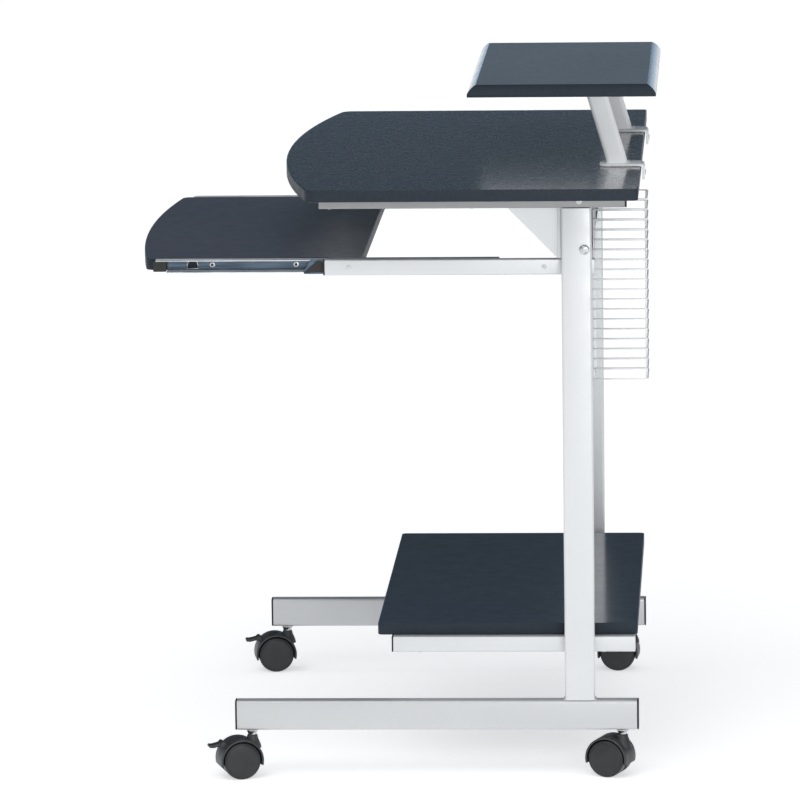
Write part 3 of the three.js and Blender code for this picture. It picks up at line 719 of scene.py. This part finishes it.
def monitor_legs():
    """Leaning flat-oval tubes, each between a hooked plate on the desktop and a head plate."""
    for hand in SIDES:
        node = f"monitor_leg_{hand}"
        low, high = corners(node)
        x = (low[0] + high[0]) / 2
        half = (high[0] - low[0]) / 2
        rear = high[1]
        desk_top = corners("desktop")[1][2]
        plate_top = desk_top + 0.3 + LEG_PLATE
        head_top, head_bottom = high[2], high[2] - 2.7
        oval = rounded(-LEG_WIDTH / 2, 0, LEG_WIDTH / 2, LEG_DEPTH, LEG_WIDTH / 2 - 2.0, 10)
        foot_y = rear - LEG_SETBACK
        steps = 6
        tube = []
        for i in range(steps + 1):
            share = i / steps
            z = plate_top - 0.4 + (head_bottom + 0.4 - plate_top) * share
            tube.append([(x + u, foot_y - LEG_LEAN * share + v, z) for u, v in oval])
        plate = leg_plate(x, half, rear - LEG_PLATE_REACH, rear, plate_top, low[2])
        outline = rounded(x - half, foot_y - 32, x + half, foot_y + 28, 4, 6)
        head = slab(outline, "xy", head_bottom, head_top, 0.4)
        # The legs wear the lighter silver copy, which is painted light.
        remake(f"monitor_leg_tube_{hand}", node, [tube, plate, head], M["leg"])
        for number, (dy, radius) in enumerate(((LEG_DEPTH + 0.5, 2.6), (-0.6, 1.6))):
            start, stop = (x - 5, foot_y + dy, plate_top), (x + 5, foot_y + dy, plate_top)
            weld(f"leg_weld_{hand}_{number + 1}", start, stop, radius)
        for number, du in enumerate((-11, 11)):
            at = (x + du, rear, (low[2] + desk_top) / 2 - 1)
            screw(f"leg_screw_{hand}_{number + 1}", "small_screw", at, "+y", 30 * number)


# Disc rack

def disc_rack():
    """U-shaped wires on four posts, tied across the open front at the top and bottom."""
    low, high = corners("wire_rack")
    near_x, far_x = high[0] - WIRE_RADIUS, low[0] + WIRE_RADIUS
    rear = high[1] - WIRE_RADIUS
    front = low[1]
    bottom = low[2] + POST_RADIUS
    pitch = (high[2] - low[2] - 2 * POST_RADIUS) / (RACK_WIRES - 1)
    bends = (arc(near_x - RACK_BEND, rear - RACK_BEND, RACK_BEND, 0, 90, 8)
             + arc(far_x + RACK_BEND, rear - RACK_BEND, RACK_BEND, 90, 180, 8))
    shells = []
    for level in range(RACK_WIRES):
        z = bottom + level * pitch
        path = [(x, y, z) for x, y in [(near_x, front)] + bends + [(far_x, front)]]
        shells.append(swept(path, WIRE_RADIUS, 10))
    touch = POST_RADIUS + WIRE_RADIUS / 2
    top = bottom + (RACK_WIRES - 1) * pitch
    posts = [(near_x - touch, front + POST_RADIUS), (far_x + touch, front + POST_RADIUS),
             (near_x - 2 * RACK_BEND, rear - touch), (far_x + 2 * RACK_BEND, rear - touch)]
    for x, y in posts:
        shells.append(swept([(x, y, bottom - 1.2), (x, y, top + 1.2)], POST_RADIUS))
    tie_y = front + POST_RADIUS
    for z in (bottom, top):
        shells.append(swept([(far_x, tie_y, z), (near_x, tie_y, z)], POST_RADIUS))
    remake("disc_rack_wires", "wire_rack", shells, crease=50)


# Casters, each drawn about its swivel axis, trailing towards -Y

def fender(inner, outer, half, start, end, steps):
    """A curved shell over the wheels: a rounded section carried round the axle."""
    section = rounded(inner, -half, outer, half, min(1.1, (outer - inner) / 2.2), 4)
    axle_y, axle_z = AXLE
    rings = []
    for i in range(steps + 1):
        angle = math.radians(start + (end - start) * i / steps)
        rings.append([(x, axle_y + r * math.cos(angle), axle_z + r * math.sin(angle))
                      for r, x in section])
    return rings


def lean_round_axle(point):
    """A point drawn above the axle, carried to the brake lever's side of it."""
    x, y, z = point
    cos, sin = math.cos(LEVER_LEAN), math.sin(LEVER_LEAN)
    return (x, AXLE[0] + y * cos - z * sin, AXLE[1] + y * sin + z * cos)


def hood_shells(braked):
    """The fender, the web between the wheels, the neck and, on a braked caster, two ears."""
    shells = [fender(25.2, 27.8, 17.9, -14, 194, 48)]
    web = arc(*AXLE, 26.5, -14, 194, 40) + arc(*AXLE, 6, 194, 346, 12)
    shells.append(slab(web, "yz", -3.3, 3.3, 0.3, 2))
    neck = [(11.6, 38.0), (10.6, 42.0), (9.0, 46.0), (7.6, 49.5)]
    neck += [(6.9, 52.0), (6.6, 53.8), (6.1, 54.5), (4.9, 54.6)]
    shells.append(turned(neck, "z"))
    shells.append(slab(rounded(-13, 36, 6.2, 50, 4.5, 6), "yz", -5.0, 5.0, 1.2, 3))
    if braked:
        ear = rounded(-3.4, 26.5, 3.4, 34.6, 3.0, 6)
        for start, end in ((-9.2, -6.8), (6.8, 9.2)):
            tab = slab(ear, "yz", start, end, 0.5, 2)
            shells.append([[lean_round_axle(point) for point in ring] for ring in tab])
    return shells


def wheel_shells(side):
    """One wheel: tread, rounded shoulder, a shallow step and a domed disc with a centre mark."""
    profile = [(3.3, 4.2), (8, 4.2), (8.5, 4.8), (20, 4.8)]
    profile += [(20.5, 4.2), (23.2, 4.2), (23.8, 4.6), (24.0, 5.4)]
    profile += [(24.0, 14.6), (23.85, 15.6), (23.4, 16.5), (22.7, 17.2), (21.9, 17.6)]
    profile += [(21.4, 17.65), (21.2, 17.45), (20.9, 17.45), (20.7, 17.7)]
    dome = [math.radians(a) for a in range(12, 88, 6)]
    profile += [(20.7 * math.cos(a), 17.7 + 1.3 * math.sin(a)) for a in dome]
    profile += [(1.6, 19.0), (1.5, 18.8), (0.3, 18.8)]
    return [[[(side * x, y, z) for x, y, z in ring] for ring in turned(profile, "x", AXLE, 72)]]


def both_ends(profile):
    """A pin's profile, continued by its own mirror image."""
    return profile + [(radius, -at) for radius, at in reversed(profile)]


def lever_shells():
    """A brake lever: a barrel between the hood's ears and a ribbed toe pad."""
    y0 = AXLE[0] - LEVER_REACH * math.sin(LEVER_LEAN)
    z0 = AXLE[1] + LEVER_REACH * math.cos(LEVER_LEAN)
    barrel = both_ends([(1.6, -6.4), (2.7, -6.4), (3.0, -6.0)])
    shells = [turned(barrel, "x", (y0, z0), 24)]
    upper = [(y0 + 1.0, z0 + 2.4), (y0 - 4, z0 + 1.9), (y0 - 9, z0 + 0.6), (y0 - 13.5, z0 - 0.3)]
    tip = arc(y0 - 16.2, z0 - 1.9, 2.1, 60, 250, 10)
    lower = [(y0 - 12, z0 - 4.3), (y0 - 7, z0 - 3.0), (y0 + 1.0, z0 - 2.4)]
    shells.append(slab(upper + tip + lower, "yz", -6.3, 6.3, 0.8, 3))
    for k in range(3):
        at = y0 - 10.5 - 2.2 * k
        top = z0 + 0.45 - 0.22 * (k + 1) * 1.2
        rib = rounded(at - 0.5, top - 1.2, at + 0.5, top + 0.55, 0.4, 3)
        shells.append(slab(rib, "yz", -5.2, 5.2, 0.3, 2))
    return shells


def stem_shells():
    """The fixed stem: a washer and a flared collar under the beam, and the pin in its socket."""
    collar = [(4.0, 54.9), (5.2, 54.9), (5.5, 55.3), (5.6, 56.6), (6.3, 58.2)]
    collar += [(7.4, 59.6), (8.0, 60.2), (8.1, 61.4), (7.7, 61.7), (4.0, 61.7)]
    pin = [(2.0, 46.6), (3.6, 46.6), (3.95, 47.2), (3.95, 84.0)]
    return [turned(collar, "z"), turned(pin, "z", sides=32)]


def casters():
    for hand in SIDES:
        for end in ENDS:
            key = f"{hand}_{end}"
            axis = JOINTS[f"wheel_spin_{key}_right"]["axis"]
            swivel = Vector(JOINTS[f"caster_swivel_{key}"]["pos_m"]) / MM
            turn = Matrix.Rotation(math.atan2(axis[1], axis[0]), 4, "Z")
            place = Matrix.Translation((swivel.x, swivel.y, 0)) @ turn
            braked = end == "front"
            stem, hood = f"caster_stem_{key}", f"caster_hood_{key}"
            remake(f"caster_stem_pin_{key}", stem, stem_shells(), place=place)
            remake(f"caster_fender_{key}", hood, hood_shells(braked), M["hood"], place=place)
            pin = both_ends([(1.5, -12.6), (2.8, -12.6), (3.0, -12.2)])
            axle = turned(pin, "x", AXLE, 24)
            remake(f"caster_axle_pin_{key}", f"caster_axle_{key}", [axle], place=place)
            for wheel, side in SIDES.items():
                node = f"caster_wheel_{key}_{wheel}"
                remake(f"caster_disc_{key}_{wheel}", node, wheel_shells(side), place=place)
            if braked:
                node = f"brake_lever_{key}"
                remake(f"brake_pedal_{key}", node, lever_shells(), M["hood"], place=place)


# Tray slides

def slides():
    """The slides keep their solids, with bent edges rounded, and gain trim and rollers."""
    for hand, side in SIDES.items():
        for node in (f"fixed_slide_{hand}", f"moving_slide_{hand}"):
            solid = frame["nodes"][node]
            solid.data.materials.clear()
            solid.data.materials.append(M["zinc"])
            solid.data.materials.append(M["flange"])
            for face in solid.data.polygons:
                # Upward faces of the moving member take the pale zinc copy, which is a painted
                # highlight along its top.
                if node.startswith("moving") and face.normal.z > 0.9:
                    face.material_index = 1
            edge = solid.modifiers.new("bends", "BEVEL")
            edge.width = 0.25 * MM
            edge.segments = 2
            edge.limit_method = "ANGLE"
            edge.angle_limit = math.radians(40)
            edge.harden_normals = True
        fixed_trim(hand, side)
        moving_trim(hand, side)
        for kind in ENDS:
            roller(kind, hand)


def roller(kind, hand):
    node = f"{kind}_roller_{hand}"
    low, high = corners(node)
    radius = (high[2] - low[2]) / 2
    centre = ((low[1] + high[1]) / 2, (low[2] + high[2]) / 2)
    x0, x1 = low[0], high[0]
    profile = [(2.0, x0), (radius - 0.9, x0), (radius - 0.3, x0 + 0.2), (radius, x0 + 0.8),
               (radius, x1 - 0.8), (radius - 0.3, x1 - 0.2), (radius - 0.9, x1), (2.0, x1)]
    shell = turned(profile, "x", centre)
    remake(f"{kind}_slide_roller_{hand}", node, [shell], M["black_plastic"])


def fixed_trim(hand, side):
    """The black guide on the fixed member's nose, and the guide's foot."""
    low, high = corners(f"fixed_slide_{hand}")
    web = max(abs(low[0]), abs(high[0]))
    nose, bottom, top = low[1], low[2], high[2]
    outline = [(nose - 0.6, bottom + 1.4), (nose + 27.4, bottom + 1.4), (nose + 27.4, top - 3.2)]
    outline += arc(nose + 19, top - 8.2, 6.4, 40, 150, 12)
    guide = slab(outline, "yz", web + 0.05, web + 1.0, 0.3, 2)
    make(f"slide_guide_{hand}", [guide], M["black_plastic"], "frame", "black_plastic",
         mirror=side < 0)
    outline = rounded(nose + 8, bottom + 0.2, nose + 27.5, bottom + 2.6, 0.6, 3)
    foot = slab(outline, "yz", web + 0.1, web + 1.6, 0.3, 2)
    make(f"slide_guide_foot_{hand}", [foot], M["zinc"], "frame", "zinc", mirror=side < 0)


def moving_trim(hand, side):
    """The moving member's black front block (a painted dark reflection), pale edge rods (painted
    highlights), slot rim, and pins in their eyelets.
    """
    low, high = corners(f"moving_slide_{hand}")
    web = min(abs(low[0]), abs(high[0]))
    front, bottom, top = low[1], low[2], high[2]
    # A black block on the front of the moving member stands for the dark reflection in its
    # inward-bent web: painted reflection.
    outline = rounded(front - 3.5, bottom + 0.2, front + 13.5, top - 1.4, 1.6, 5)
    dark_reflection_block = slab(outline, "yz", web + 1.3, web + 9.5, 0.8, 3)
    make(f"slide_bumper_{hand}", [dark_reflection_block], M["black_plastic"], "tray", "black_plastic",
         mirror=side < 0)
    # Thin rods along the upper and lower edges, in the pale zinc copy, paint highlight lines there.
    lip_x = max(abs(low[0]), abs(high[0])) - 0.3
    for edge, start, z in (("upper", front + 0.6, top - 0.3), ("lower", front + 14, bottom + 0.3)):
        highlight_lip = swept([(lip_x, start, z), (lip_x, high[1] - 19, z)], 0.6, 10)
        make(f"slide_{edge}_lip_{hand}", [highlight_lip], M["flange"], "tray", "zinc",
             mirror=side < 0, crease=50)
    centre, sill, radius = front + 46, bottom + 3.6, 6.7
    arch = [(centre + radius, sill), (centre + radius, sill + 4)]
    arch += arc(centre, sill + 4, radius, 0, 180, 16)[1:]
    arch += [(centre - radius, sill)]
    rim = swept([(web + 1.3, y, z) for y, z in arch], 0.55, 8)
    ends = (centre - radius - 1.5, centre + radius + 1.5)
    sill_wire = swept([(web + 1.5, y, sill - 0.2) for y in ends], 0.6, 8)
    make(f"slide_slot_rim_{hand}", [rim, sill_wire], M["bright_steel"], "tray", "bright_steel",
         mirror=side < 0, crease=50)
    pin = [(0.4, 0.5), (1.8, 0.5), (1.8, 1.7), (1.4, 1.9), (0.4, 1.95)]
    eyelet = [(2.1, 1.15), (3.4, 1.15), (3.3, 1.5), (2.9, 1.62), (2.1, 1.6)]
    for number, y in enumerate((front + 71, front + 177)):
        at = (y, (low[2] + high[2]) / 2)
        for kind, profile, material, slot in (
            ("pin", pin, "black_plastic", "black_plastic"),
            ("eyelet", eyelet, "bright_steel", "zinc"),
        ):
            shell = turned([(r, web + out) for r, out in profile], "x", at, 32)
            make(f"slide_{kind}_{hand}_{number + 1}", [shell], M[material], "tray", slot,
                 mirror=side < 0)


boards()
monitor_shelf()
side_frames()
fasteners()
monitor_legs()
disc_rack()
casters()
slides()


# Studio

def floor():
    n = Nodes("studio_floor")
    tones = [(0.90, 0.90, 0.90), (0.93, 0.93, 0.93)]
    n.set(
        Base_Color=n.ramp(n.noise(3.0, 3.0), 0.3, 0.7, tones),
        Roughness=0.9,
        Specular_IOR_Level=0.1,
        Emission_Color=(1, 1, 1, 1),
        Emission_Strength=0.55,
    )
    mesh = bpy.data.meshes.new("floor")
    reach = 60.0
    square = [(-reach, -reach, 0), (reach, -reach, 0), (reach, reach, 0), (-reach, reach, 0)]
    mesh.from_pydata(square, [], [(0, 1, 2, 3)])
    mesh.materials.append(n.material)
    obj = bpy.data.objects.new("floor", mesh)
    bpy.context.scene.collection.objects.link(obj)


def softbox(name, at, aim, width, height, power):
    light = bpy.data.lights.new(name, "AREA")
    light.shape = "RECTANGLE"
    light.size, light.size_y = width, height
    light.energy = power
    obj = bpy.data.objects.new(name, light)
    obj.location = at
    obj.rotation_euler = (Vector(aim) - Vector(at)).to_track_quat("-Z", "Y").to_euler()
    bpy.context.scene.collection.objects.link(obj)


def studio():
    """A room that is bright at the horizon, and soft light from the camera's side and above."""
    world = bpy.data.worlds.new("studio")
    bpy.context.scene.world = world
    world.use_nodes = True
    tree = world.node_tree
    link = tree.links.new

    where = tree.nodes.new("ShaderNodeTexCoord")
    split = tree.nodes.new("ShaderNodeSeparateXYZ")
    link(where.outputs["Generated"], split.inputs["Vector"])
    room = map_range(tree, split.outputs["X"], -0.9, 0.6, 0.06, 0.5)
    horizon = map_range(tree, split.outputs["Z"], 0.035, 0.11, 0.95, 0.0)
    brighter = tree.nodes.new("ShaderNodeMath")
    brighter.operation = "MAXIMUM"
    link(room, brighter.inputs[0])
    link(horizon, brighter.inputs[1])
    sky = tree.nodes["Background"]
    link(brighter.outputs["Value"], sky.inputs["Strength"])
    tint = tree.nodes.new("ShaderNodeMix")
    tint.data_type = "RGBA"
    tint.inputs["A"].default_value = (0.62, 0.80, 1.0, 1.0)
    tint.inputs["B"].default_value = (1.0, 1.0, 1.0, 1.0)
    link(map_range(tree, split.outputs["X"], -0.6, 0.3, 0.0, 1.0), tint.inputs["Factor"])
    link(tint.outputs["Result"], sky.inputs["Color"])
    plain = tree.nodes.new("ShaderNodeBackground")
    plain.inputs["Color"].default_value = (1.0, 1.0, 1.0, 1.0)
    plain.inputs["Strength"].default_value = 1.0
    path = tree.nodes.new("ShaderNodeLightPath")
    choose = tree.nodes.new("ShaderNodeMixShader")
    link(path.outputs["Is Camera Ray"], choose.inputs["Fac"])
    link(sky.outputs["Background"], choose.inputs[1])
    link(plain.outputs["Background"], choose.inputs[2])
    link(choose.outputs["Shader"], tree.nodes["World Output"].inputs["Surface"])

    middle = (0, 0, 0.5)
    softbox("key", (3.4, -1.2, 4.4), middle, 2.6, 2.2, 26)
    softbox("fill", (5.8, 1.8, 1.5), middle, 2.4, 2.0, 62)
    daylight = bpy.data.lights.new("overhead", "SUN")
    daylight.energy = 0.75
    daylight.angle = math.radians(70)
    overhead = bpy.data.objects.new("overhead", daylight)
    overhead.rotation_euler = Vector((0.35, -0.15, 1.0)).to_track_quat("Z", "Y").to_euler()
    bpy.context.scene.collection.objects.link(overhead)
    view = bpy.context.scene.view_settings
    view.view_transform = "Standard"
    view.look = "None"


def camera():
    """A long lens from the user's right, a little above the desktop."""
    data = bpy.data.cameras.new("camera")
    data.lens = 281.8
    data.sensor_width = 36.0
    data.clip_end = 200
    yaw, pitch, roll = math.radians(-3.15), math.radians(9.88), math.radians(-0.76)
    across = math.cos(pitch)
    ahead = Vector((-math.cos(yaw) * across, math.sin(yaw) * across, -math.sin(pitch)))
    level = ahead.cross(Vector((0, 0, 1))).normalized()
    above = level.cross(ahead)
    right = level * math.cos(roll) + above * math.sin(roll)
    up = above * math.cos(roll) - level * math.sin(roll)
    obj = bpy.data.objects.new("camera", data)
    rotation = Matrix((right, up, -ahead)).transposed().to_4x4()
    obj.matrix_world = Matrix.Translation((8.072, 0.435, 1.838)) @ rotation
    bpy.context.scene.collection.objects.link(obj)
    bpy.context.scene.camera = obj


floor()
studio()
camera()
